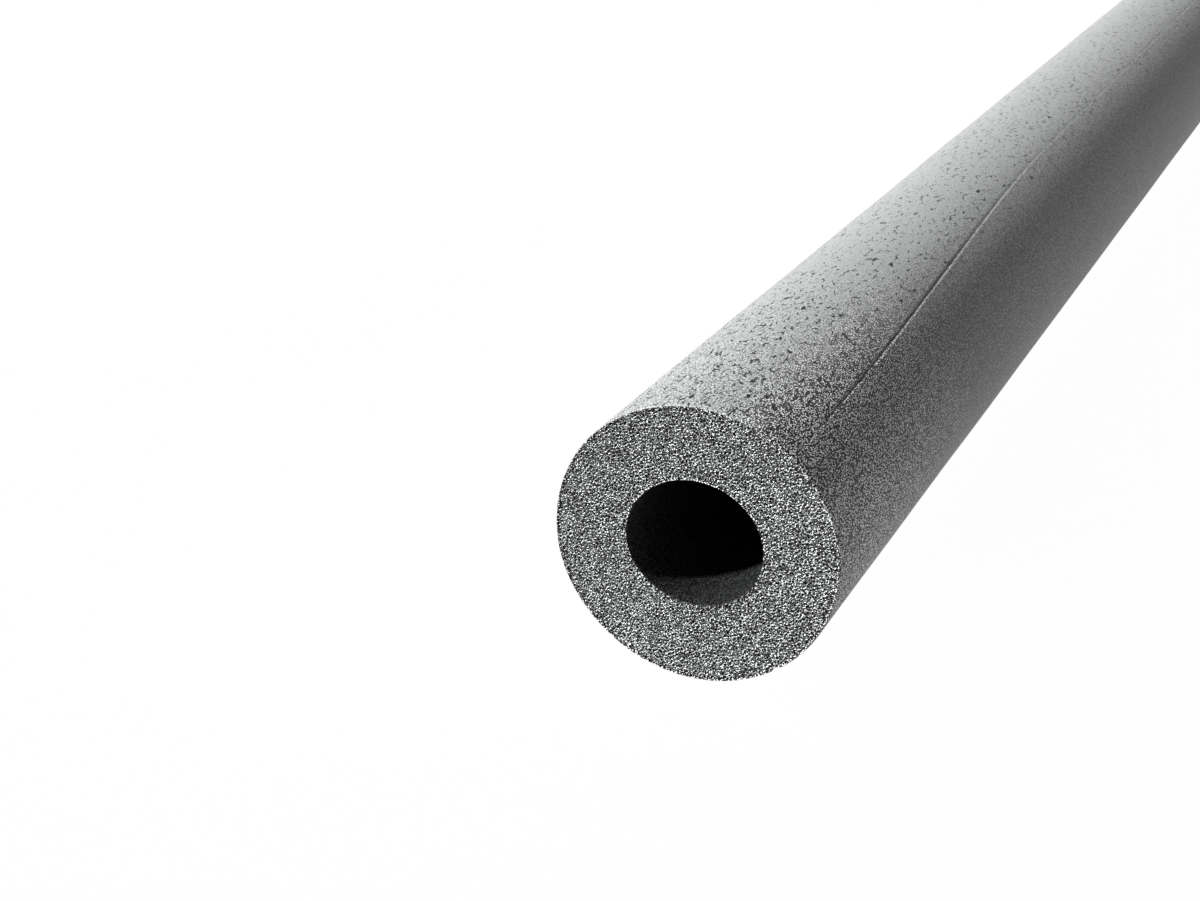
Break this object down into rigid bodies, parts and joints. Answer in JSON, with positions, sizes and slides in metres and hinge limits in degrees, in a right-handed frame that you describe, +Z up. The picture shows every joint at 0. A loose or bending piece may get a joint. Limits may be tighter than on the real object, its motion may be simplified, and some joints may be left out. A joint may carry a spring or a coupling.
{
  "type": "pipe insulation lagging",
  "caption": "Straight length of grey closed-cell foam pipe lagging: a slightly oval tube with an open bore for the pipe, cut square at both ends.",
  "frame": {"origin": "on the surface the tube lies on, under its middle, half way between its cut ends", "axes": "+X along the tube, away from the cut end that the picture shows; +Z up; the bore's axis is parallel to X, 24.25 mm above the origin"},
  "size_m": [1, 0.0486, 0.0476],
  "materials": {
    "pe_foam": "closed-cell polyethylene foam, grey, pebbled extruded skin, knife-cut ends with open cells"
  },
  "bodies": {
    "root": {"foam_tube": "pe_foam"}
  },
  "joints": []
}
